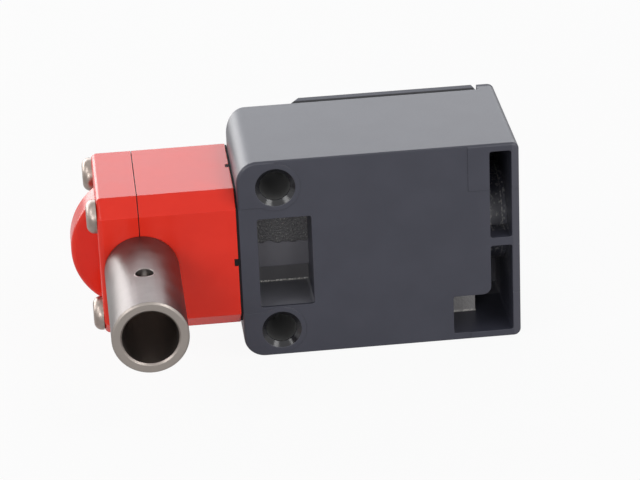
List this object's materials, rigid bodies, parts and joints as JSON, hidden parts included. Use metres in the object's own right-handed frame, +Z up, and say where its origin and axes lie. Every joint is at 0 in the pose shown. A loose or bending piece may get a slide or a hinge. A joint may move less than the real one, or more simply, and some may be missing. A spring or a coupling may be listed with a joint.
{
  "type": "safety hinge switch",
  "caption": "Compact grey switch housing with a red head and a hollow steel hinge shaft; turning the shaft works a cam that opens the safety contacts.",
  "frame": {"origin": "on the hinge axis where the shaft leaves the head, in the plane of the rear mounting pads", "axes": "+X from the hinge axis to the conduit end, +Y from the mounting plane to the front cover, +Z up across the width, with the part lying on its side as in the picture"},
  "size_m": [0.0631, 0.0449, 0.03],
  "materials": {
    "grey_housing": "moulded, fine satin",
    "red_head": "moulded, glossy",
    "shaft_steel": "turned, satin",
    "screw_steel": "plated",
    "black_seal": "matt",
    "cam_steel": "sintered",
    "spring_steel": "drawn wire",
    "white_slider": "acetal",
    "block_plastic": "moulded",
    "contact_metal": "stamped"
  },
  "bodies": {
    "housing_body": {"body_housing": "grey_housing", "cover_gasket": "black_seal", "head_base": "red_head", "head_cap": "red_head", "head_gasket": "black_seal", "head_screws": "screw_steel", "rear_shaft_seal": "black_seal", "front_shaft_seal": "black_seal", "plunger_spring": "spring_steel", "plunger_wiper": "black_seal", "contact_block_base": "block_plastic", "carrier_spring": "spring_steel", "nc_terminal_lower": "contact_metal", "nc_terminal_upper": "contact_metal", "no_terminal_lower": "contact_metal", "no_terminal_upper": "contact_metal", "terminal_clamps": "screw_steel", "terminal_screws": "screw_steel"},
    "shaft": {"hinge_shaft": "shaft_steel", "cam": "cam_steel", "cam_key": "cam_steel"},
    "plunger_body": {"plunger": "white_slider"},
    "carrier_body": {"contact_carrier": "white_slider", "nc_bridge": "contact_metal", "no_bridge": "contact_metal"},
    "cover_body": {"front_cover": "grey_housing"}
  },
  "joints": [
    {"name": "shaft_turn", "type": "hinge", "parent": "housing_body", "child": "shaft", "pos_m": [0, 0, 0], "axis": [0, 1, 0], "range_deg": [0, 180]},
    {"name": "plunger_slide", "type": "slide", "parent": "housing_body", "child": "plunger_body", "axis": [1, 0, 0], "range_m": [0, 0.0022], "deforming": ["plunger_spring"]},
    {"name": "carrier_slide", "type": "slide", "parent": "housing_body", "child": "carrier_body", "axis": [1, 0, 0], "range_m": [0, 0.0022], "deforming": ["carrier_spring"]},
    {"name": "cover_hinge", "type": "hinge", "parent": "housing_body", "child": "cover_body", "pos_m": [0.0516, 0.0219, 0], "axis": [0, 0, -1], "range_deg": [0, 90]}
  ],
  "couplings": [
    {"joint": "plunger_slide", "follows": "shaft_turn", "m_per_rad": 0.0007},
    {"joint": "carrier_slide", "follows": "shaft_turn", "m_per_rad": 0.0007}
  ]
}
